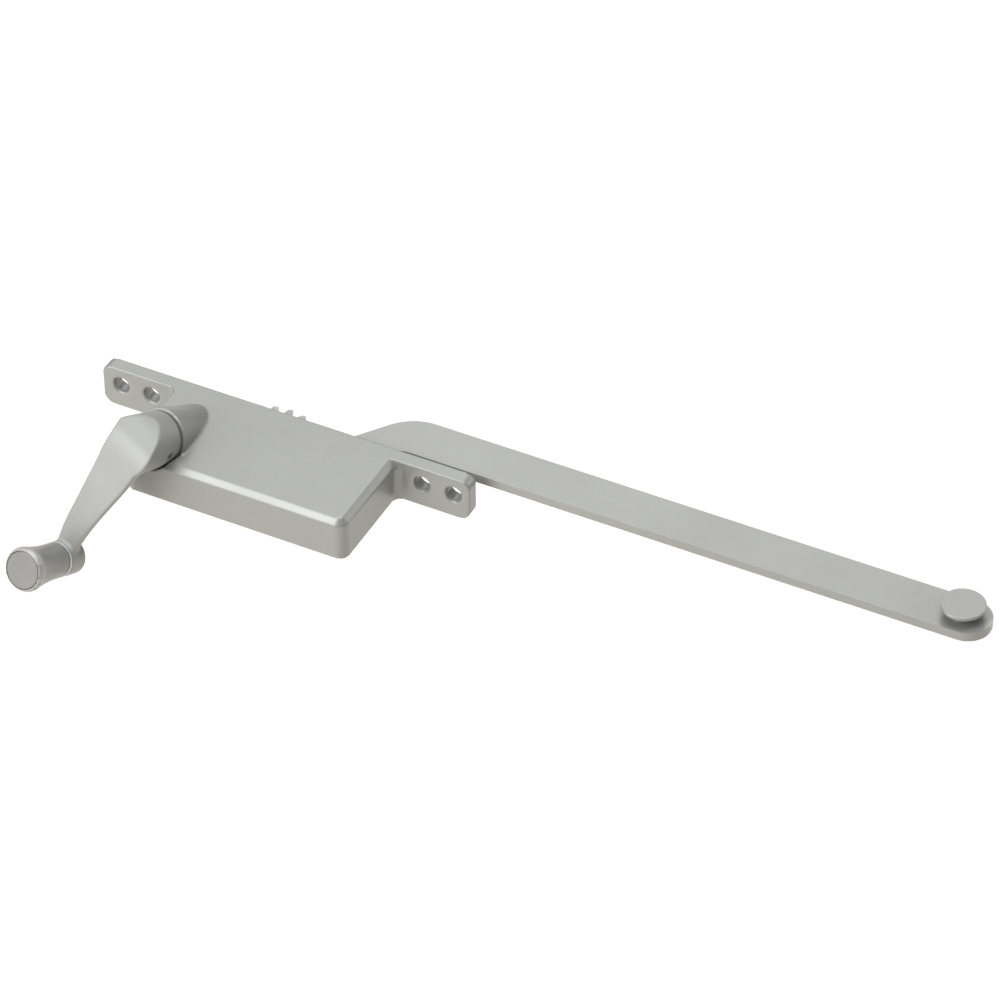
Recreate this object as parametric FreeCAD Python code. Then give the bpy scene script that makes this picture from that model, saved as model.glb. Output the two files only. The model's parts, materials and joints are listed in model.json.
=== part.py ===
import FreeCAD, Part
import math
import os

# Face-mounted casement window operator: a die-cast gear housing with two mounting ears, a worm driven
# by a crank handle, and a steel arm with a toothed sector whose end button runs in a track on the sash.
# Frame, mm: X to the right along the ears, Y out through the window frame, Z up.
# Origin: on the mounting face (Y = 0), at the bottom of the housing (Z = 0), midway between the ear ends.

V = FreeCAD.Vector
X_AXIS, Y_AXIS, Z_AXIS = V(1, 0, 0), V(0, 1, 0), V(0, 0, 1)

# ---- housing -------------------------------------------------------------------------------------
BODY_LEFT, BODY_RIGHT = -40.7, 42.2
BODY_DEPTH = 41.0
BODY_HEIGHT = 16.0
WALL = 2.4
FRONT_WALL = 2.0
ROOF = 2.2                    # thickness of the top plate
TOP_BEVEL = 2.0
CORNER_R = 3.8                # vertical front corners
EAR_END = 69.4
EAR_THICK = 5.05
EAR_FILLET = 2.8              # where an ear meets the body wall
EAR_LOW_ROUND, EAR_HIGH_ROUND = 3.8, 3.2
CAVITY_ROUND = 2.0
HOLE_RIM = 0.45               # countersunk edge of the mounting holes
HOLE_DIA = 5.9
HOLE_Z = 9.3
HOLE_X = (-62.4, -50.7, 51.7, 63.4)
SLOT_LEFT, SLOT_RIGHT = -20.0, 39.8
SLOT_FLOOR = 7.6              # height of the strip of back wall under the arm slot
GEAR_ROOM = 0.6               # air between the housing and the turning sector
COVER_BOTTOM, COVER_TOP = 0.3, 1.5
COVER_GAP = 0.2
COVER_SCREWS = ((34.5, -34.0), (34.5, -8.5), (-14.0, -36.2))
SCREW_R, SCREW_HEAD_R, SCREW_TIP = 1.5, 2.6, 7.8
POST_R = 3.4                  # posts under the top plate that take the cover screws

# ---- gear and arm --------------------------------------------------------------------------------
PIVOT_X, PIVOT_Y = -3.5, -16.0
ARM_TOP, ARM_THICK = 12.3, 3.4
ARM_WIDTH = 16.8
ARM_FRONT_Y = 4.45
ARM_BACK_Y = ARM_FRONT_Y + ARM_WIDTH
ROOT_BACK, ROOT_FRONT = (15.3, -5.4), (19.5, -19.0)
ELBOW_BACK, ELBOW_FRONT = (34.94, ARM_BACK_Y), (38.4, ARM_FRONT_Y)
STUD_X, STUD_Y = 236.4, 12.85
STUD_HEAD_R, STUD_SHANK_R, STUD_TAIL_R = 7.4, 3.2, 2.6
STUD_HEAD_BOTTOM, STUD_HEAD_TOP = 15.8, 17.0
TEETH_IN_CIRCLE = 25
TEETH_IN_SECTOR = 9
TOOTH_STEP = 360.0 / TEETH_IN_CIRCLE
FIRST_TOOTH_DEG = 75.6
GEAR_TIP_R, GEAR_PITCH_R, GEAR_ROOT_R = 22.35, 21.0, 19.2
TOOTH_HALF_AT_PITCH = 1.28
TOOTH_FLANK = 0.24            # half-thickness lost per mm of height
TOOTH_HELIX_DEG = 13.7
HUB_R = 8.5
HUB_BOTTOM = 3.7

# ---- pivot ---------------------------------------------------------------------------------------
PIN_R, PIN_NECK_R, PIN_HEAD_R = 3.5, 2.5, 4.6
BUSH_R = 5.0
PIN_TOP = ARM_TOP + 2.2
RUNNING_GAP = 0.05

# ---- worm and crank axis -------------------------------------------------------------------------
AXIS_LEAN_DEG, AXIS_TILT_DEG = 8.5, 24.0
BOSS_END = V(-31.6, -31.5, 18.0)
BOSS_R, BOSS_ROOT_R, BOSS_LENGTH = 10.15, 6.9, 25.0
WORM_PITCH_R, WORM_TIP_R, WORM_CORE_R = 4.7, 5.9, 3.0
WORM_BORE_R = 6.4
WORM_BLOCK_R, WORM_BLOCK_RIGHT = 9.6, -20.5   # metal kept around the worm, and where it stops
LAND_R = 7.5                                  # land over the pivot
SCOOP_GAP = 0.5                               # air around the crank hub in the front rim
WORM_BACK, WORM_FRONT = -25.0, -12.8
WORM_AXIAL_PITCH = 5.20
WORM_PHASE_DEG = 140.0
THREAD_HALF_WIDTH = 0.86
JOURNAL_R, FRONT_SEAT_R = 3.0, 5.0
TAIL_R, REAR_SEAT_R = 2.2, 3.5
SPLINE_R = 4.2
SPLINE_TEETH = 12

# ---- crank handle --------------------------------------------------------------------------------
HUB_BACK_R, HUB_FRONT_R = 9.15, 10.2
HUB_BACK = 0.5
HUB_FRONT = 22.0
KNOB_X, KNOB_Y = -14.6, -46.0
EYE_BACK, EYE_FRONT = 14.0, 21.8
EYE_R = 6.2
ARM_SECTIONS = (
    # distance from the hub axis towards the knob, left edge, right edge, front height, depth of the belly
    (1.0, -7.4, 9.1, 19.6, 9.5),
    (6.0, -7.0, 8.5, 20.1, 8.8),
    (12.0, -6.5, 7.9, 20.6, 8.0),
    (20.0, -5.9, 6.6, 21.1, 7.2),
    (28.0, -5.5, 5.15, 21.3, 6.6),
    (35.0, -5.3, 4.05, 21.1, 6.2),
    (40.0, -4.9, 3.45, 20.8, 6.0),
    (45.0, -4.3, 3.1, 20.4, 5.8),
)
# front of the handle seen from the side: (distance from the hub axis, height above the boss end)
FRONT_LINE = (
    (-12.0, 3.0), (-9.6, 9.0), (-8.2, 12.2), (-6.2, 15.4), (-3.5, 18.0), (0.0, 19.5),
    (9.0, 20.4), (17.0, 21.0), (28.0, 21.3), (36.0, 21.05), (42.0, 20.6), (46.0, 20.3), (52.0, 20.2),
)
# the left shoulder of the hub leans in towards the front: (sideways, height above the boss end)
SHOULDER = ((-9.9, 12.0), (-7.25, 19.5), (-6.35, 22.0), (-15.0, 22.0), (-15.0, 12.0))
SPARE = 2.0                   # metal above the front line before it is trimmed

KNOB_REACH = math.hypot(KNOB_X, KNOB_Y)
ALONG = V(KNOB_X, KNOB_Y, 0) * (1 / KNOB_REACH)
ACROSS = V(-ALONG.y, ALONG.x, 0)
KNOB_BORE_R, KNOB_POST_R = 2.55, 2.5
RIVET_R, RIVET_HEAD_R = 2.1, 3.4
KNOB_WASHER_R = 6.1
KNOB_BACK, KNOB_SHOULDER, KNOB_END = 22.9, 40.2, 41.1
SCREW_HEIGHT = 5.4            # set screw: height above the boss end, direction around the hub
SCREW_DIR = V(math.cos(math.radians(-14)), math.sin(math.radians(-14)), 0)
SET_SCREW_R, SET_SCREW_LENGTH = 1.15, 2.8
HEX_R, HEX_DEPTH = 0.6, 1.4


def crank_placement():
    turn = FreeCAD.Rotation(Z_AXIS, -AXIS_LEAN_DEG)
    tilt = FreeCAD.Rotation(X_AXIS, 90 - AXIS_TILT_DEG)
    return FreeCAD.Placement(BOSS_END, turn.multiply(tilt))


CRANK = crank_placement()


def on_axis(shape):
    """Move a shape drawn about local Z (0 = end of the boss, + towards the knob) to the crank axis."""
    moved = shape.copy()
    moved.Placement = CRANK.multiply(moved.Placement)
    return moved


def box(x0, x1, y0, y1, z0, z1):
    return Part.makeBox(x1 - x0, y1 - y0, z1 - z0, V(x0, y0, z0))


def rod(radius, z0, z1, x=0.0, y=0.0):
    return Part.makeCylinder(radius, z1 - z0, V(x, y, z0), Z_AXIS)


def tube(outer, inner, z0, z1, x=0.0, y=0.0):
    return rod(outer, z0, z1, x, y).cut(rod(inner, z0 - 1, z1 + 1, x, y))


def edges_where(shape, test):
    return [edge for edge in shape.Edges if test(edge.CenterOfMass, edge.BoundBox)]


def vertical(bounds):
    return bounds.XLength < 0.01 and bounds.YLength < 0.01 and bounds.ZLength > 1


# ---- housing -------------------------------------------------------------------------------------
def make_ear(x0, x1, outer_x):
    ear = box(x0, x1, -EAR_THICK, 0, 0, BODY_HEIGHT)

    def end_edges(z):
        def at_end(c, b):
            return abs(c.x - outer_x) < 0.01 and b.YLength > 1 and abs(c.z - z) < 0.01
        return edges_where(ear, at_end)
    ear = ear.makeFillet(EAR_LOW_ROUND, end_edges(0))
    return ear.makeFillet(EAR_HIGH_ROUND, end_edges(BODY_HEIGHT))


def make_outside():
    """Body with its ears and the round boss on the crank axis, all solid."""
    body = box(BODY_LEFT, BODY_RIGHT, -BODY_DEPTH, 0, 0, BODY_HEIGHT)
    body = body.makeFillet(CORNER_R, edges_where(body, lambda c, b: vertical(b) and c.y < -BODY_DEPTH + 1))
    rim = edges_where(body, lambda c, b: c.z > BODY_HEIGHT - 0.01 and c.y < -0.1)
    body = body.makeChamfer(TOP_BEVEL, rim)
    # the left edge of the top plate has no bevel
    square_edge = box(
        BODY_LEFT, BODY_LEFT + TOP_BEVEL, -BODY_DEPTH + CORNER_R, 0, BODY_HEIGHT - TOP_BEVEL, BODY_HEIGHT,
    )
    outside = body.fuse([
        square_edge,
        make_ear(-EAR_END, BODY_LEFT + 5, -EAR_END),
        make_ear(BODY_RIGHT - 5, EAR_END, EAR_END),
    ]).removeSplitter()

    def ear_meets_wall(c, b):
        at_wall = min(abs(c.x - BODY_LEFT), abs(c.x - BODY_RIGHT)) < 0.01
        return vertical(b) and abs(c.y + EAR_THICK) < 0.01 and at_wall
    outside = outside.makeFillet(EAR_FILLET, edges_where(outside, ear_meets_wall))
    boss = on_axis(Part.makeCone(BOSS_ROOT_R, BOSS_R, BOSS_LENGTH, V(0, 0, -BOSS_LENGTH), Z_AXIS))
    boss = boss.common(box(-60, 10, -60, -2, 2.0, 40))
    return outside.fuse(boss).removeSplitter()


def make_inside():
    """The hollow: a box less the metal kept around the worm, over the pivot and at the screw posts."""
    cavity = box(BODY_LEFT + WALL, BODY_RIGHT - WALL, -BODY_DEPTH + FRONT_WALL, -WALL, -1, BODY_HEIGHT - ROOF)
    cavity = cavity.makeFillet(CAVITY_ROUND, edges_where(cavity, lambda c, b: vertical(b)))
    worm_block = box(BODY_LEFT, WORM_BLOCK_RIGHT, -BODY_DEPTH, 0, 3.2, BODY_HEIGHT)
    worm_block = worm_block.common(on_axis(rod(WORM_BLOCK_R, -36, 0)))
    land = rod(LAND_R, ARM_TOP + 1.1, BODY_HEIGHT - 1, PIVOT_X, PIVOT_Y)
    inside = cavity.cut(worm_block).cut(land)
    for x, y in COVER_SCREWS:
        inside = inside.cut(rod(POST_R, COVER_TOP, BODY_HEIGHT - 1, x, y))
    return inside


def make_housing():
    housing = make_outside().cut(make_inside())
    # sweep of the toothed sector and of the arm root
    arm_bottom, slot_top = ARM_TOP - ARM_THICK, ARM_TOP + 0.7
    sweep = rod(GEAR_TIP_R + GEAR_ROOM, arm_bottom - GEAR_ROOM, slot_top, PIVOT_X, PIVOT_Y)
    sweep = sweep.common(box(-40, 60, -BODY_DEPTH + FRONT_WALL, 10, 0, 20))
    slot = box(SLOT_LEFT, SLOT_RIGHT, -WALL - 1, 1, SLOT_FLOOR, slot_top)
    housing = housing.cut(sweep).cut(slot)
    # bore for the worm, bearing seats at both ends
    bores = [
        rod(WORM_BORE_R, WORM_BACK - 0.8, WORM_FRONT + 0.8),
        rod(FRONT_SEAT_R, WORM_FRONT, 0.1),
        rod(REAR_SEAT_R, WORM_BACK - 6.0, WORM_BACK),
    ]
    for bore in bores:
        housing = housing.cut(on_axis(bore))
    # scoop in the front rim that clears the crank hub
    scoop = Part.makeCone(HUB_BACK_R + SCOOP_GAP, HUB_FRONT_R + SCOOP_GAP, HUB_FRONT, V(0, 0, 0), Z_AXIS)
    housing = housing.cut(on_axis(scoop))
    for x in HOLE_X:
        housing = housing.cut(Part.makeCylinder(HOLE_DIA / 2, 12, V(x, -EAR_THICK - 1, HOLE_Z), Y_AXIS))
        rim = Part.makeCone(HOLE_DIA / 2 + HOLE_RIM, HOLE_DIA / 2, HOLE_RIM, V(x, -EAR_THICK, HOLE_Z), Y_AXIS)
        housing = housing.cut(rim)
    for x, y in COVER_SCREWS:
        housing = housing.cut(rod(SCREW_R, 0, SCREW_TIP + 0.2, x, y))
    housing = housing.cut(rod(PIN_R, 5, PIN_TOP, PIVOT_X, PIVOT_Y))
    return housing.removeSplitter()


def make_cover():
    cover = box(
        BODY_LEFT + WALL + COVER_GAP, BODY_RIGHT - WALL - COVER_GAP,
        -BODY_DEPTH + FRONT_WALL + COVER_GAP, -WALL - COVER_GAP, COVER_BOTTOM, COVER_TOP,
    )
    cover = cover.makeFillet(CAVITY_ROUND, edges_where(cover, lambda c, b: vertical(b)))
    for x, y in COVER_SCREWS:
        cover = cover.cut(rod(SCREW_R + 0.2, 0, 3, x, y))
    return cover.cut(rod(PIN_NECK_R, 0, 3, PIVOT_X, PIVOT_Y))


def make_cover_screws():
    screws = []
    for x, y in COVER_SCREWS:
        head = rod(SCREW_HEAD_R, 0, COVER_BOTTOM, x, y)
        screws.append(head.fuse(rod(SCREW_R, COVER_BOTTOM - 0.01, SCREW_TIP, x, y)))
    return Part.makeCompound(screws)


# ---- gear, arm -----------------------------------------------------------------------------------
def tooth_wire(angle_deg, z):
    """Cross-section of one rounded sector tooth at height z; its root reaches into the gear body."""
    def half(radius):
        return TOOTH_HALF_AT_PITCH - (radius - GEAR_PITCH_R) * TOOTH_FLANK
    inner, shoulder = GEAR_ROOT_R - 1.5, GEAR_TIP_R - 0.7
    points = [
        V(inner, -half(GEAR_ROOT_R), z), V(GEAR_ROOT_R, -half(GEAR_ROOT_R), z),
        V(shoulder, -half(shoulder), z), V(GEAR_TIP_R, 0, z), V(shoulder, half(shoulder), z),
        V(GEAR_ROOT_R, half(GEAR_ROOT_R), z), V(inner, half(GEAR_ROOT_R), z),
    ]
    edges = [
        Part.makeLine(points[0], points[1]), Part.makeLine(points[1], points[2]),
        Part.Arc(points[2], points[3], points[4]).toShape(),
        Part.makeLine(points[4], points[5]), Part.makeLine(points[5], points[6]),
        Part.makeLine(points[6], points[0]),
    ]
    wire = Part.Wire(edges)
    wire.rotate(V(0, 0, 0), Z_AXIS, angle_deg)
    wire.translate(V(PIVOT_X, PIVOT_Y, 0))
    return wire


def make_tooth(angle_deg):
    z0, z1 = ARM_TOP - ARM_THICK, ARM_TOP
    twist = math.degrees(math.tan(math.radians(TOOTH_HELIX_DEG)) * ARM_THICK / 2 / GEAR_PITCH_R)
    return Part.makeLoft([tooth_wire(angle_deg + twist, z0), tooth_wire(angle_deg - twist, z1)], True, True)


def polygon_plate(points, z0, z1):
    vertices = [V(x, y, z0) for x, y in points]
    face = Part.Face(Part.makePolygon(vertices + vertices[:1]))
    return face.extrude(V(0, 0, z1 - z0))


def round_corners(plate, corners, radius):
    def at_corner(c, b):
        return vertical(b) and any(math.hypot(c.x - x, c.y - y) < 0.01 for x, y in corners)
    return plate.makeFillet(radius, edges_where(plate, at_corner))


def make_arm():
    z0, z1 = ARM_TOP - ARM_THICK, ARM_TOP
    last_tooth_deg = FIRST_TOOTH_DEG + TOOTH_STEP * (TEETH_IN_SECTOR - 1)
    start, end = FIRST_TOOTH_DEG - 7, last_tooth_deg + 6
    sector = Part.makeCylinder(GEAR_ROOT_R, ARM_THICK, V(0, 0, z0), Z_AXIS, end - start)
    sector.rotate(V(0, 0, 0), Z_AXIS, start)
    sector.translate(V(PIVOT_X, PIVOT_Y, 0))
    # dog-leg: the root leaves the hub to the right, bends back through the slot, then runs along X
    plate = polygon_plate([
        (PIVOT_X - 1.0, PIVOT_Y + 9.5), (6.5, -8.5), ROOT_BACK, ELBOW_BACK,
        (STUD_X + 1.5, ARM_BACK_Y), (STUD_X + 1.5, ARM_FRONT_Y), ELBOW_FRONT,
        (27.6, -9.6), ROOT_FRONT, (PIVOT_X + 2.0, PIVOT_Y - 9.0),
    ], z0, z1)
    plate = round_corners(plate, [ELBOW_BACK], 17.0)
    plate = round_corners(plate, [ELBOW_FRONT], 8.0)
    plate = round_corners(plate, [ROOT_BACK, ROOT_FRONT], 6.0)
    tip = rod(ARM_WIDTH / 2, z0, z1, STUD_X + 1.5, (ARM_FRONT_Y + ARM_BACK_Y) / 2)
    hub = rod(HUB_R, HUB_BOTTOM, z1, PIVOT_X, PIVOT_Y)
    pad = rod(11.0, z0, z1, PIVOT_X, PIVOT_Y)
    parts = [make_tooth(FIRST_TOOTH_DEG + TOOTH_STEP * i) for i in range(TEETH_IN_SECTOR)]
    arm = plate.fuse([sector, pad, hub, tip] + parts)
    arm = arm.cut(rod(BUSH_R, 0, 20, PIVOT_X, PIVOT_Y))
    arm = arm.cut(rod(STUD_TAIL_R, 0, 20, STUD_X, STUD_Y))
    return arm.removeSplitter()


def make_sash_button():
    arm_bottom = ARM_TOP - ARM_THICK
    flange = rod(STUD_SHANK_R + 0.7, ARM_TOP, ARM_TOP + 0.8, STUD_X, STUD_Y)
    shank = rod(STUD_SHANK_R, ARM_TOP + 0.8, STUD_HEAD_BOTTOM + 0.1, STUD_X, STUD_Y)
    head = rod(STUD_HEAD_R, STUD_HEAD_BOTTOM, STUD_HEAD_TOP, STUD_X, STUD_Y)
    head = head.makeFillet(0.35, [e for e in head.Edges if e.Curve.TypeId == "Part::GeomCircle"])
    tail = rod(STUD_TAIL_R, arm_bottom, ARM_TOP + 0.1, STUD_X, STUD_Y)
    rivet = rod(STUD_TAIL_R + 1.2, arm_bottom - 1.0, arm_bottom, STUD_X, STUD_Y)
    rivet = rivet.makeFillet(0.5, [e for e in rivet.Edges if e.BoundBox.ZMax < arm_bottom - 0.9])
    return head.fuse([shank, flange, tail, rivet]).removeSplitter()


# ---- pivot ---------------------------------------------------------------------------------------
def make_pivot_pin():
    pin = rod(PIN_R, COVER_TOP, PIN_TOP, PIVOT_X, PIVOT_Y)
    neck = rod(PIN_NECK_R, COVER_BOTTOM, COVER_TOP, PIVOT_X, PIVOT_Y)
    head = rod(PIN_HEAD_R, 0.02, COVER_BOTTOM, PIVOT_X, PIVOT_Y)
    return pin.fuse([neck, head]).removeSplitter()


def make_pivot_bushing():
    return tube(BUSH_R, PIN_R + RUNNING_GAP, HUB_BOTTOM, ARM_TOP, PIVOT_X, PIVOT_Y)


def make_lower_washer():
    return tube(7.5, PIN_R + RUNNING_GAP, COVER_TOP + 1.0, HUB_BOTTOM - 0.06, PIVOT_X, PIVOT_Y)


def make_spring_washer():
    """Wave washer, drawn as a dished ring, that takes up the end play of the arm."""
    outer, inner, rise = 6.8, PIN_R + 0.3, 0.45
    low, high = COVER_TOP, COVER_TOP + 1.0
    ring = [V(inner, 0, low), V(inner + 0.9, 0, low), V(outer, 0, high - rise), V(outer, 0, high),
            V(outer - 0.9, 0, high), V(inner, 0, low + rise)]
    face = Part.Face(Part.makePolygon(ring + ring[:1]))
    washer = face.revolve(V(0, 0, 0), Z_AXIS, 360)
    washer.translate(V(PIVOT_X, PIVOT_Y, 0))
    return washer


def make_upper_washer():
    return tube(7.2, PIN_R + RUNNING_GAP, ARM_TOP + 0.06, ARM_TOP + 1.04, PIVOT_X, PIVOT_Y)


# ---- worm shaft ----------------------------------------------------------------------------------
def make_threaded_core():
    """Worm body: a single-start right-hand trapezoidal thread around its core, cut square at both ends."""
    lead_in = WORM_AXIAL_PITCH
    length = WORM_FRONT - WORM_BACK + 2 * lead_in
    slope = math.tan(math.radians(14.5))

    def corner(radius, side):
        return V(radius, 0, side * (THREAD_HALF_WIDTH - (radius - WORM_PITCH_R) * slope))
    inner = WORM_CORE_R - 0.5
    corners = [corner(inner, -1), corner(WORM_TIP_R, -1), corner(WORM_TIP_R, 1), corner(inner, 1)]
    helix = Part.makeHelix(WORM_AXIAL_PITCH, length, WORM_PITCH_R)
    thread = Part.Wire(helix).makePipeShell([Part.makePolygon(corners + corners[:1])], True, True)
    worm = rod(WORM_CORE_R, -1, length + 1).fuse(thread)
    worm.translate(V(0, 0, WORM_BACK - lead_in))
    worm.rotate(V(0, 0, 0), Z_AXIS, WORM_PHASE_DEG)
    return worm.common(rod(WORM_TIP_R + 2, WORM_BACK, WORM_FRONT))


def make_worm_shaft():
    front = rod(JOURNAL_R, WORM_FRONT - 0.01, 1.5)
    tail = rod(TAIL_R, WORM_BACK - 5.0, WORM_BACK + 0.01)
    spline = rod(SPLINE_R, 1.5, 11.5)
    for i in range(SPLINE_TEETH):
        groove = rod(0.5, 1.0, 12.5, SPLINE_R, 0)
        groove.rotate(V(0, 0, 0), Z_AXIS, i * 360.0 / SPLINE_TEETH)
        spline = spline.cut(groove)
    shaft = make_threaded_core().fuse([front, tail, spline])
    collar_groove = tube(5, JOURNAL_R - 0.5, -0.9, -0.1)
    return on_axis(shaft.cut(collar_groove).removeSplitter())


def make_front_bushing():
    sleeve = tube(FRONT_SEAT_R, JOURNAL_R + RUNNING_GAP, WORM_FRONT + 1.2, -1.1)
    return on_axis(sleeve)


def make_thrust_washer():
    return on_axis(tube(4.3, JOURNAL_R + RUNNING_GAP, WORM_FRONT + 0.08, WORM_FRONT + 1.12))


def make_retaining_ring():
    ring = tube(4.7, JOURNAL_R - 0.45, -0.85, -0.15)
    return on_axis(ring.cut(box(-1.6, 1.6, 0, 8, -2, 1)))


def make_rear_bushing():
    return on_axis(tube(REAR_SEAT_R, TAIL_R + RUNNING_GAP, WORM_BACK - 5.4, WORM_BACK - 0.1))


# ---- crank ---------------------------------------------------------------------------------------
def handle_point(reach, side, height):
    return ALONG * reach + ACROSS * side + V(0, 0, height)


def belly_section(reach, left, right, front, depth):
    """Section of the handle, square to its length: flat in front, half an ellipse behind."""
    corners = [
        handle_point(reach, left, front), handle_point(reach, left, front + SPARE),
        handle_point(reach, right, front + SPARE), handle_point(reach, right, front),
    ]
    middle, half = (left + right) / 2, (right - left) / 2
    low = handle_point(reach, middle, front - depth)
    side = handle_point(reach, middle + half * 0.7071, front - depth * 0.7071)
    other = handle_point(reach, middle - half * 0.7071, front - depth * 0.7071)
    belly = Part.BSplineCurve()
    belly.interpolate([corners[3], side, low, other, corners[0]])
    edges = [Part.makeLine(corners[i], corners[i + 1]) for i in range(3)]
    return Part.Wire(edges + [belly.toShape()])


def above_front_line():
    """Everything in front of the handle's front line, to trim the hub and the arm in one sweep."""
    line = Part.BSplineCurve()
    line.interpolate([handle_point(reach, -20, height) for reach, height in FRONT_LINE])
    first, last = FRONT_LINE[0], FRONT_LINE[-1]
    top = [handle_point(last[0], -20, last[1]), handle_point(last[0], -20, 40),
           handle_point(first[0], -20, 40), handle_point(first[0], -20, first[1])]
    edges = [line.toShape()] + [Part.makeLine(top[i], top[i + 1]) for i in range(3)]
    return Part.Face(Part.Wire(edges)).extrude(ACROSS * 40)


def left_of_shoulder():
    corners = [handle_point(-15, side, height) for side, height in SHOULDER]
    return Part.Face(Part.makePolygon(corners + corners[:1])).extrude(ALONG * 27)


def make_crank_handle():
    hub = Part.makeCone(HUB_BACK_R, HUB_FRONT_R, HUB_FRONT - HUB_BACK, V(0, 0, HUB_BACK), Z_AXIS)
    arm = Part.makeLoft([belly_section(*section) for section in ARM_SECTIONS], True, False)
    body = hub.cut(left_of_shoulder()).fuse(arm).cut(above_front_line())
    eye = rod(EYE_R, EYE_BACK, EYE_FRONT, KNOB_X, KNOB_Y)
    eye = eye.makeFillet(0.8, [e for e in eye.Edges if e.Curve.TypeId == "Part::GeomCircle"])
    handle = body.fuse(eye)
    socket = rod(SPLINE_R + RUNNING_GAP, 0, 12.2).fuse(rod(SPLINE_R + 0.9, 0, 1.6))
    handle = handle.cut(socket)
    handle = handle.cut(rod(RIVET_R, 0, 30, KNOB_X, KNOB_Y))
    handle = handle.cut(rod(RIVET_HEAD_R + 0.2, 0, EYE_BACK + 0.6, KNOB_X, KNOB_Y))
    screw_hole = Part.makeCylinder(SET_SCREW_R + 0.05, 14, V(0, 0, SCREW_HEIGHT), SCREW_DIR)
    handle = handle.cut(screw_hole)
    return on_axis(handle.removeSplitter())


def make_set_screw():
    start = V(0, 0, SCREW_HEIGHT) + SCREW_DIR * (SPLINE_R + 0.1)
    screw = Part.makeCylinder(SET_SCREW_R, SET_SCREW_LENGTH, start, SCREW_DIR)
    corners = [V(HEX_R, 0, 0)]
    for i in range(1, 6):
        turn = math.radians(60 * i)
        corners.append(V(HEX_R * math.cos(turn), HEX_R * math.sin(turn), 0))
    socket = Part.Face(Part.makePolygon(corners + corners[:1])).extrude(V(0, 0, HEX_DEPTH))
    floor = start + SCREW_DIR * (SET_SCREW_LENGTH - HEX_DEPTH)
    socket.Placement = FreeCAD.Placement(floor, FreeCAD.Rotation(Z_AXIS, SCREW_DIR))
    return on_axis(screw.cut(socket))


def revolve_profile(points):
    face = Part.Face(Part.makePolygon([V(r, 0, z) for r, z in points] + [V(points[0][0], 0, points[0][1])]))
    return face.revolve(V(0, 0, 0), Z_AXIS, 360)


def make_knob():
    """Waisted grip, widest at the front, with a round lip around the end cap."""
    knob = revolve_profile([
        (KNOB_BORE_R, KNOB_BACK), (5.7, KNOB_BACK), (6.1, KNOB_BACK + 0.4), (6.1, 27.5), (6.4, 32.0),
        (7.0, 36.0), (7.6, 38.6), (7.6, 39.7), (7.1, 40.7), (6.6, KNOB_END), (6.6, KNOB_SHOULDER),
        (KNOB_BORE_R, KNOB_SHOULDER),
    ])
    knob.translate(V(KNOB_X, KNOB_Y, 0))
    return on_axis(knob)


def make_knob_cap():
    top = KNOB_END - 0.1
    cap = revolve_profile([
        (0.0, KNOB_SHOULDER), (6.5, KNOB_SHOULDER), (6.5, top - 0.3), (6.2, top), (0.0, top),
    ])
    cap.translate(V(KNOB_X, KNOB_Y, 0))
    return on_axis(cap)


def make_knob_rivet():
    shank = rod(RIVET_R, EYE_BACK, EYE_FRONT + 0.01, KNOB_X, KNOB_Y)
    post = rod(KNOB_POST_R, EYE_FRONT, KNOB_SHOULDER - 0.6, KNOB_X, KNOB_Y)
    head = rod(RIVET_HEAD_R, EYE_BACK - 0.6, EYE_BACK + 0.6, KNOB_X, KNOB_Y)
    return on_axis(shank.fuse([post, head]).removeSplitter())


def make_knob_washer():
    return on_axis(tube(KNOB_WASHER_R, KNOB_BORE_R, EYE_FRONT + 0.05, KNOB_BACK - 0.1, KNOB_X, KNOB_Y))


NODES = {
    "housing": make_housing,
    "bottom_cover": make_cover,
    "cover_screws": make_cover_screws,
    "pivot_pin": make_pivot_pin,
    "pivot_bushing": make_pivot_bushing,
    "pivot_upper_washer": make_upper_washer,
    "pivot_lower_washer": make_lower_washer,
    "pivot_spring_washer": make_spring_washer,
    "operator_arm": make_arm,
    "sash_button": make_sash_button,
    "worm_shaft": make_worm_shaft,
    "worm_front_bushing": make_front_bushing,
    "worm_rear_bushing": make_rear_bushing,
    "worm_thrust_washer": make_thrust_washer,
    "worm_retaining_ring": make_retaining_ring,
    "crank_handle": make_crank_handle,
    "crank_set_screw": make_set_screw,
    "knob": make_knob,
    "knob_end_cap": make_knob_cap,
    "knob_rivet": make_knob_rivet,
    "knob_washer": make_knob_washer,
}

os.makedirs("parts", exist_ok=True)
for name, build in NODES.items():
    shape = build()
    print(name, "valid" if shape.isValid() else "INVALID", len(shape.Solids), round(shape.Volume, 1))
    shape.exportStep("parts/" + name + ".step")
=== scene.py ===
"""Looks of a single-arm casement window operator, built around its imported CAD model.

Units are metres, in the frame of the CAD model: +X along the ears, +Y out through the window
frame, +Z up. Every visible piece is a CAD node: the castings are softened by a remesh and a smooth
modifier, most pressed and turned parts get bevelled edges, and each has a procedural material.
"""
import json
import math

import bpy
from mathutils import Matrix, Vector

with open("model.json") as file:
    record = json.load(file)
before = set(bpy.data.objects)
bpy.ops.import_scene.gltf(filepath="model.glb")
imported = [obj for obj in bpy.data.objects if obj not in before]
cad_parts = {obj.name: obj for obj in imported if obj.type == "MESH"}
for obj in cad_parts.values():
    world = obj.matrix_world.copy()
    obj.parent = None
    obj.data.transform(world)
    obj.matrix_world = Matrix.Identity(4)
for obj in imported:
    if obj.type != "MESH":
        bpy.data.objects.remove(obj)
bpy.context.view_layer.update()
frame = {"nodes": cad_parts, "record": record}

NODES = frame["nodes"]
MM = 0.001

# ---- sizes and places -------------------------------------------------------------------------
# modifiers on the pressed and turned parts
WELD_GAP = 0.002 * MM
FLAT_ANGLE = math.radians(0.6)
SHARP_ANGLE = math.radians(28.0)
FLAT_FACE_WEIGHT = 50

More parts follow.
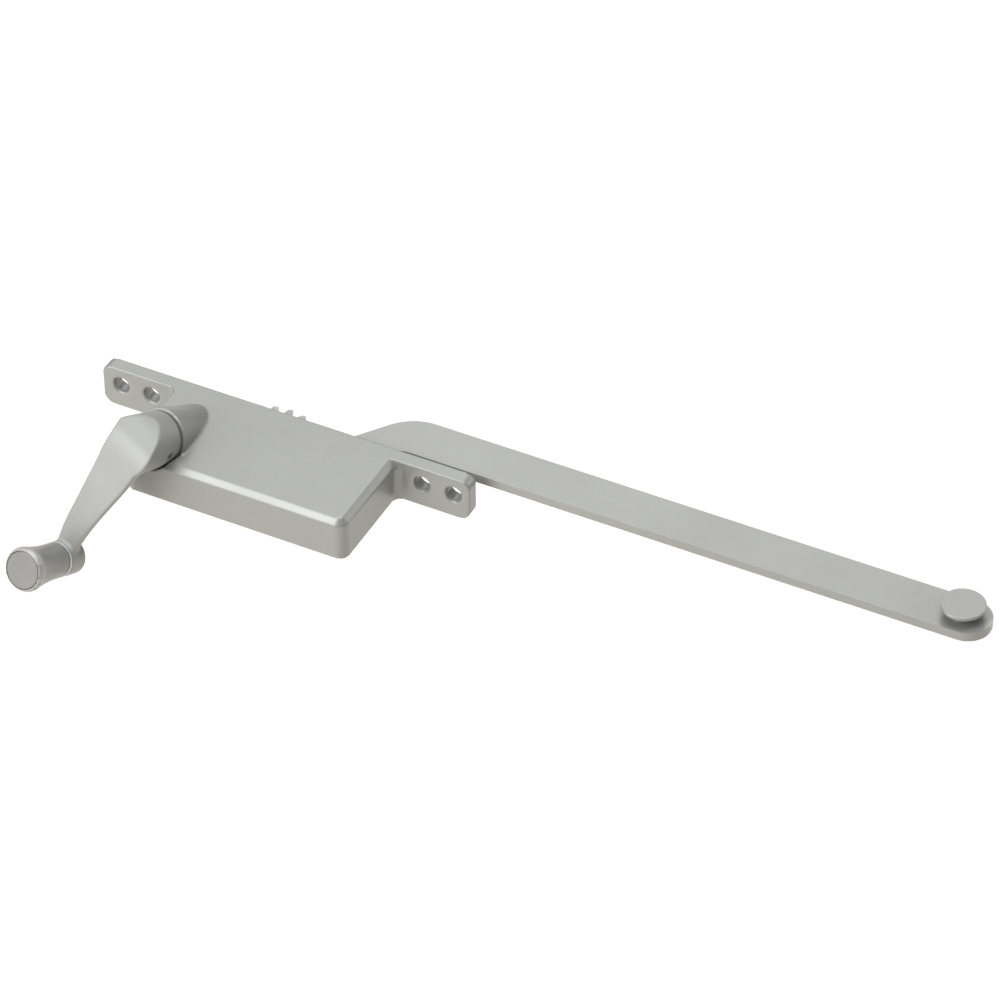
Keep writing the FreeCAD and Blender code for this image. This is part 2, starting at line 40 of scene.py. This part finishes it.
# crank axis, and the slope of the knob's front lip, measured along it from the boss end
CRANK_TURN = {joint["name"]: joint for joint in frame["record"]["behaviour"]["joints"]}["crank_turn"]
AXIS = Vector(CRANK_TURN["axis"]).normalized()
BOSS_END = Vector(CRANK_TURN["pos_m"])
LIP_START, LIP_FULL = 37.6 * MM, 38.8 * MM
# share of the paler colour painted on the knob's front lip as a highlight
LIP_HIGHLIGHT_SHARE = 0.65
CHIP_COLOUR = (0.10, 0.095, 0.09)
# paler colour for painted highlights on sharp edges of the steel paint and on the knob's front lip
HIGHLIGHT_COLOUR = (0.52, 0.52, 0.50)

FLOOR_SIZE, FLOOR_HEIGHT, FLOOR_COLOUR = 12.0, -0.16, (1.0, 0.965, 0.91)
WORLD_STRENGTH = 0.12
LIGHT_TARGET = Vector((0.08, -0.01, 0.0))
LIGHTS = {
    # name: (place, size of the square, watts)
    "key": ((-0.66, -1.0, 1.02), 1.0, 17.5),
    "top": ((0.1, 0.1, 1.55), 1.4, 18.5),
    "back": ((-0.55, 1.1, 1.15), 1.2, 6.5),
    "rim": ((0.86, 0.86, 0.44), 0.8, 3.0),
    "front": ((-0.78, -1.10, 0.24), 0.7, 5.2),
}

# camera: the direction it looks from, its roll, its distance and its shift right and up
AZIMUTH, ELEVATION, ROLL = math.radians(27.108), math.radians(40.859), math.radians(-0.302)
DISTANCE, SHIFT_RIGHT, SHIFT_UP = 1.63742, 0.069477, -0.016559
LENS, SENSOR = 176.39, 36.0


# ---- node material helpers --------------------------------------------------------------------
class Nodes:
    """A small builder for one material's node tree."""

    def __init__(self, name):
        self.material = bpy.data.materials.new(name)
        self.material.use_nodes = True
        self.tree = self.material.node_tree
        self.tree.nodes.clear()
        self.output = self.add("ShaderNodeOutputMaterial")
        self.shader = self.add("ShaderNodeBsdfPrincipled")
        self.link(self.shader, "BSDF", self.output, "Surface")
        self.place = self.add("ShaderNodeTexCoord")

    def add(self, kind, **settings):
        node = self.tree.nodes.new(kind)
        for key, value in settings.items():
            if key in node.inputs:
                node.inputs[key].default_value = value
            else:
                setattr(node, key, value)
        return node

    def link(self, a, out, b, into):
        self.tree.links.new(a.outputs[out], b.inputs[into])

    def noise(self, scale, detail=3.0, roughness=0.55):
        node = self.add("ShaderNodeTexNoise", Scale=scale, Detail=detail, Roughness=roughness)
        self.link(self.place, "Object", node, "Vector")
        return node

    def cells(self, scale):
        node = self.add("ShaderNodeTexVoronoi", Scale=scale)
        self.link(self.place, "Object", node, "Vector")
        return node

    def ramp(self, source, out, stops):
        """stops: (position, grey value or colour), in order."""
        node = self.add("ShaderNodeValToRGB")
        elements = node.color_ramp.elements
        while len(elements) < len(stops):
            elements.new(0.5)
        for element, (position, value) in zip(elements, stops):
            element.position = position
            colour = value if isinstance(value, tuple) else (value, value, value)
            element.color = (*colour, 1.0)
        self.link(source, out, node, "Fac")
        return node

    def mix(self, factor, factor_out, first, second):
        """Mix of two colours (a tuple or a (node, output) pair) by factor."""
        node = self.add("ShaderNodeMix", data_type="RGBA")
        self.link(factor, factor_out, node, "Factor")
        for socket, value in ((node.inputs[6], first), (node.inputs[7], second)):
            if isinstance(value[0], (int, float)):
                socket.default_value = (*value, 1.0)
            else:
                self.tree.links.new(value[0].outputs[value[1]], socket)
        return node

    def bump(self, height, out, distance, strength, after=None):
        node = self.add("ShaderNodeBump", Distance=distance, Strength=strength)
        self.link(height, out, node, "Height")
        if after:
            self.link(after, "Normal", node, "Normal")
        return node


def shade(colour, factor):
    return tuple(c * factor for c in colour)


def knob_lip(n):
    """1 on the knob's front lip and 0 behind it, by distance along the crank axis."""
    along = n.add("ShaderNodeVectorMath", operation="DOT_PRODUCT")
    n.link(n.place, "Object", along, 0)
    along.inputs[1].default_value = AXIS
    lip = n.add("ShaderNodeMapRange")
    lip.inputs["From Min"].default_value = BOSS_END.dot(AXIS) + LIP_START
    lip.inputs["From Max"].default_value = BOSS_END.dot(AXIS) + LIP_FULL
    n.link(along, "Value", lip, "Value")
    return lip


def paint(name, colour, roughness, metallic, highlight=None, blemishes=False, wear=False):
    """Satin silver paint: slight tone drift, fine flake, orange peel.

    highlight: paler colour, a painted highlight on sharp edges or on the lip of the worn knob. wear:
    dark chips on that lip.
    blemishes: low lumps under the paint.
    """
    n = Nodes(name)
    drift = n.ramp(n.noise(28.0, 4.0), "Fac", [(0.3, shade(colour, 0.94)), (0.7, shade(colour, 1.04))])
    fine = n.ramp(n.noise(2200.0, 2.0), "Fac", [(0.35, 0.93), (0.65, 1.0)])
    base = n.add("ShaderNodeMix", data_type="RGBA", blend_type="MULTIPLY")
    base.inputs[0].default_value = 1.0
    n.tree.links.new(drift.outputs["Color"], base.inputs[6])
    n.tree.links.new(fine.outputs["Color"], base.inputs[7])
    tone = base
    if wear:
        # painted highlight: the knob's front lip is mixed toward the paler colour; the dark chips on it
        # are wear
        lip = knob_lip(n)
        lip_highlight = n.add("ShaderNodeMath", operation="MULTIPLY")
        n.link(lip, "Result", lip_highlight, 0)
        lip_highlight.inputs[1].default_value = LIP_HIGHLIGHT_SHARE
        tone = n.mix(lip_highlight, "Value", (base, 2), highlight)
        chips = n.ramp(n.noise(850.0, 5.0, 0.7), "Fac", [(0.585, 0.0), (0.61, 1.0)])
        worn = n.add("ShaderNodeMath", operation="MULTIPLY")
        n.link(chips, "Color", worn, 0)
        n.link(lip, "Result", worn, 1)
        tone = n.mix(worn, "Value", (tone, 2), CHIP_COLOUR)
    elif highlight:
        # painted highlight: pointy, sharp edges are mixed toward the paler colour
        rim = n.ramp(n.add("ShaderNodeNewGeometry"), "Pointiness", [(0.53, 0.0), (0.62, 0.8)])
        tone = n.mix(rim, "Color", (base, 2), highlight)
    n.link(tone, "Result", n.shader, "Base Color")
    gloss = n.ramp(n.noise(60.0, 3.0), "Fac", [(0.3, roughness - 0.035), (0.7, roughness + 0.045)])
    n.link(gloss, "Color", n.shader, "Roughness")
    n.shader.inputs["Metallic"].default_value = metallic
    peel = n.bump(n.noise(1100.0, 2.0), "Fac", 0.04 * MM, 0.22)
    normal = n.bump(n.noise(120.0, 2.0), "Fac", 0.25 * MM, 0.10, peel)
    if blemishes:
        lump = n.ramp(n.noise(95.0, 1.0), "Fac", [(0.70, 0.0), (0.78, 1.0)])
        normal = n.bump(lump, "Color", 0.06 * MM, 0.6, normal)
    n.link(normal, "Normal", n.shader, "Normal")
    return n.material


def bare_metal(name, colour, roughness, grain_scale, metallic=1.0, stains=0.12):
    """Plated, machined or sprung metal: soft stains and a fine grain along Z."""
    n = Nodes(name)
    stain = n.ramp(n.noise(70.0, 5.0, 0.6), "Fac", [
        (0.35, shade(colour, 1 - stains)), (0.65, shade(colour, 1 + stains)),
    ])
    n.link(stain, "Color", n.shader, "Base Color")
    stretch = n.add("ShaderNodeMapping")
    stretch.inputs["Scale"].default_value = (1.0, 1.0, 12.0)
    n.link(n.place, "Object", stretch, "Vector")
    lines = n.add("ShaderNodeTexNoise", Scale=grain_scale, Detail=4.0)
    n.link(stretch, "Vector", lines, "Vector")
    gloss = n.ramp(lines, "Fac", [(0.3, roughness - 0.07), (0.7, roughness + 0.09)])
    n.link(gloss, "Color", n.shader, "Roughness")
    n.shader.inputs["Metallic"].default_value = metallic
    n.link(n.bump(lines, "Fac", 0.02 * MM, 0.25), "Normal", n.shader, "Normal")
    return n.material


def sintered(name, colour):
    """Oil-filled sintered bronze: dull, with open grains."""
    n = Nodes(name)
    tone = n.ramp(n.noise(300.0, 4.0), "Fac", [(0.35, shade(colour, 0.8)), (0.65, shade(colour, 1.15))])
    n.link(tone, "Color", n.shader, "Base Color")
    n.shader.inputs["Metallic"].default_value = 0.9
    gloss = n.ramp(n.noise(500.0, 2.0), "Fac", [(0.3, 0.42), (0.7, 0.58)])
    n.link(gloss, "Color", n.shader, "Roughness")
    n.link(n.bump(n.cells(2200.0), "Distance", 0.03 * MM, 0.4), "Normal", n.shader, "Normal")
    return n.material


def moulded(name, colour, roughness):
    """Moulded nylon: fine spark-eroded texture and slight tone drift."""
    n = Nodes(name)
    tone = n.ramp(n.noise(180.0, 3.0), "Fac", [(0.35, shade(colour, 0.85)), (0.65, shade(colour, 1.2))])
    n.link(tone, "Color", n.shader, "Base Color")
    gloss = n.ramp(n.noise(400.0, 2.0), "Fac", [(0.3, roughness - 0.06), (0.7, roughness + 0.06)])
    n.link(gloss, "Color", n.shader, "Roughness")
    n.link(n.bump(n.noise(2500.0, 2.0), "Fac", 0.02 * MM, 0.4), "Normal", n.shader, "Normal")
    return n.material


MATERIALS = {
    "silver_paint": paint("silver_paint", (0.315, 0.32, 0.305), 0.34, 0.3, blemishes=True),
    # painted highlight: the handle's copy of the casting paint is paler, standing in for the light on
    # its front
    "handle_paint_lit_and_rough": paint("handle_paint_lit_and_rough", (0.335, 0.34, 0.325), 0.5, 0.25),
    # the steel paint gets a painted highlight on its sharp edges
    "silver_paint_steel": paint("silver_paint_steel", (0.34, 0.345, 0.33), 0.34, 0.3, HIGHLIGHT_COLOUR),
    # the knob's plastic gets a painted highlight on its front lip, and dark chips of wear there
    "silver_plastic": paint("silver_plastic", (0.25, 0.25, 0.24), 0.34, 0.2, HIGHLIGHT_COLOUR, wear=True),
    "cap_plastic": paint("cap_plastic", (0.215, 0.21, 0.20), 0.36, 0.2),
    "zinc_steel": bare_metal("zinc_steel", (0.56, 0.57, 0.58), 0.42, 300.0, 0.6),
    "machined_steel": bare_metal("machined_steel", (0.44, 0.44, 0.45), 0.30, 700.0),
    "spring_steel": bare_metal("spring_steel", (0.22, 0.22, 0.23), 0.32, 500.0),
    "black_steel": bare_metal("black_steel", (0.03, 0.03, 0.033), 0.42, 400.0, 0.8, 0.25),
    "bronze": sintered("bronze", (0.42, 0.26, 0.12)),
    "black_nylon": moulded("black_nylon", (0.028, 0.028, 0.03), 0.5),
}

# own copies for two nodes: a rougher handle paint, paler as painted light on its front; a darker
# end-cap plastic
FINISH_AND_PAINTED_LIGHT_OF = {"crank_handle": "handle_paint_lit_and_rough", "knob_end_cap": "cap_plastic"}
SLOT_OF = {part["node"]: part["material_slot"] for part in frame["record"]["subparts"]}
for name, node in NODES.items():
    node.data.materials.clear()
    node.data.materials.append(MATERIALS[FINISH_AND_PAINTED_LIGHT_OF.get(name, SLOT_OF[name])])


# ---- surfaces ---------------------------------------------------------------------------------
def crisp(name, width, segments=3):
    """Rounds the sharp edges of a pressed or turned CAD node and keeps its flat faces flat."""
    node = NODES[name]
    weld = node.modifiers.new("weld", "WELD")
    weld.merge_threshold = WELD_GAP
    flat = node.modifiers.new("flat", "DECIMATE")
    flat.decimate_type = "DISSOLVE"
    flat.angle_limit = FLAT_ANGLE
    bevel = node.modifiers.new("bevel", "BEVEL")
    bevel.width = width
    bevel.segments = segments
    bevel.limit_method = "ANGLE"
    bevel.angle_limit = SHARP_ANGLE
    bevel.use_clamp_overlap = True
    even = node.modifiers.new("even", "WEIGHTED_NORMAL")
    even.mode = "FACE_AREA"
    even.weight = FLAT_FACE_WEIGHT


def cast(name, voxel, passes):
    """Gives a die-cast CAD node the soft edges and small fillets of a painted casting."""
    node = NODES[name]
    skin = node.modifiers.new("skin", "REMESH")
    skin.mode = "VOXEL"
    skin.voxel_size = voxel
    skin.use_smooth_shade = True
    soft = node.modifiers.new("soft", "SMOOTH")
    soft.factor = 0.5
    soft.iterations = passes


cast("housing", 0.4 * MM, 3)
cast("crank_handle", 0.3 * MM, 22)
crisp("operator_arm", 0.45 * MM)
crisp("knob", 0.25 * MM)
crisp("knob_end_cap", 0.15 * MM)
crisp("bottom_cover", 0.2 * MM)
for name in ("cover_screws", "pivot_pin", "pivot_upper_washer", "pivot_lower_washer", "knob_washer",
             "worm_shaft", "worm_front_bushing", "knob_rivet"):
    crisp(name, 0.1 * MM, 2)


# ---- studio -----------------------------------------------------------------------------------
def plane(name, size, height, colour):
    mesh = bpy.data.meshes.new(name)
    half = size / 2
    corners = [
        (-half, -half, height), (half, -half, height), (half, half, height), (-half, half, height),
    ]
    mesh.from_pydata(corners, [], [(0, 1, 2, 3)])
    obj = bpy.data.objects.new(name, mesh)
    bpy.context.scene.collection.objects.link(obj)
    n = Nodes(name)
    tone = n.ramp(n.noise(2.0), "Fac", [(0.3, colour), (0.7, shade(colour, 0.99))])
    n.link(tone, "Color", n.shader, "Base Color")
    n.shader.inputs["Roughness"].default_value = 0.9
    mesh.materials.append(n.material)
    return obj


def area_light(name, position, size, power):
    data = bpy.data.lights.new(name, "AREA")
    data.shape = "SQUARE"
    data.size = size
    data.energy = power
    light = bpy.data.objects.new(name, data)
    light.location = position
    light.rotation_mode = "QUATERNION"
    light.rotation_quaternion = (LIGHT_TARGET - Vector(position)).to_track_quat("-Z", "Y")
    bpy.context.scene.collection.objects.link(light)


floor = plane("floor", FLOOR_SIZE, FLOOR_HEIGHT, FLOOR_COLOUR)

world = bpy.data.worlds.new("studio")
bpy.context.scene.world = world
world.use_nodes = True
background = world.node_tree.nodes["Background"]
background.inputs["Color"].default_value = (1.0, 1.0, 1.0, 1.0)
background.inputs["Strength"].default_value = WORLD_STRENGTH

for name, (position, size, power) in LIGHTS.items():
    area_light(name, position, size, power)


# ---- camera -----------------------------------------------------------------------------------
right = Vector((math.cos(AZIMUTH), math.sin(AZIMUTH), 0))
back = Vector((
    math.sin(AZIMUTH) * math.cos(ELEVATION),
    -math.cos(AZIMUTH) * math.cos(ELEVATION),
    math.sin(ELEVATION),
))
up = back.cross(right)
camera_x = right * math.cos(ROLL) + up * math.sin(ROLL)
camera_y = up * math.cos(ROLL) - right * math.sin(ROLL)

data = bpy.data.cameras.new("camera")
data.sensor_width = SENSOR
data.lens = LENS
data.clip_start, data.clip_end = 0.05, 50.0
camera = bpy.data.objects.new("camera", data)
place = Matrix((camera_x, camera_y, back)).transposed().to_4x4()
place.translation = right * SHIFT_RIGHT + up * SHIFT_UP + back * DISTANCE
camera.matrix_world = place
bpy.context.scene.collection.objects.link(camera)
bpy.context.scene.camera = camera
bpy.context.scene.view_settings.view_transform = "Standard"
bpy.context.scene.view_settings.look = "None"
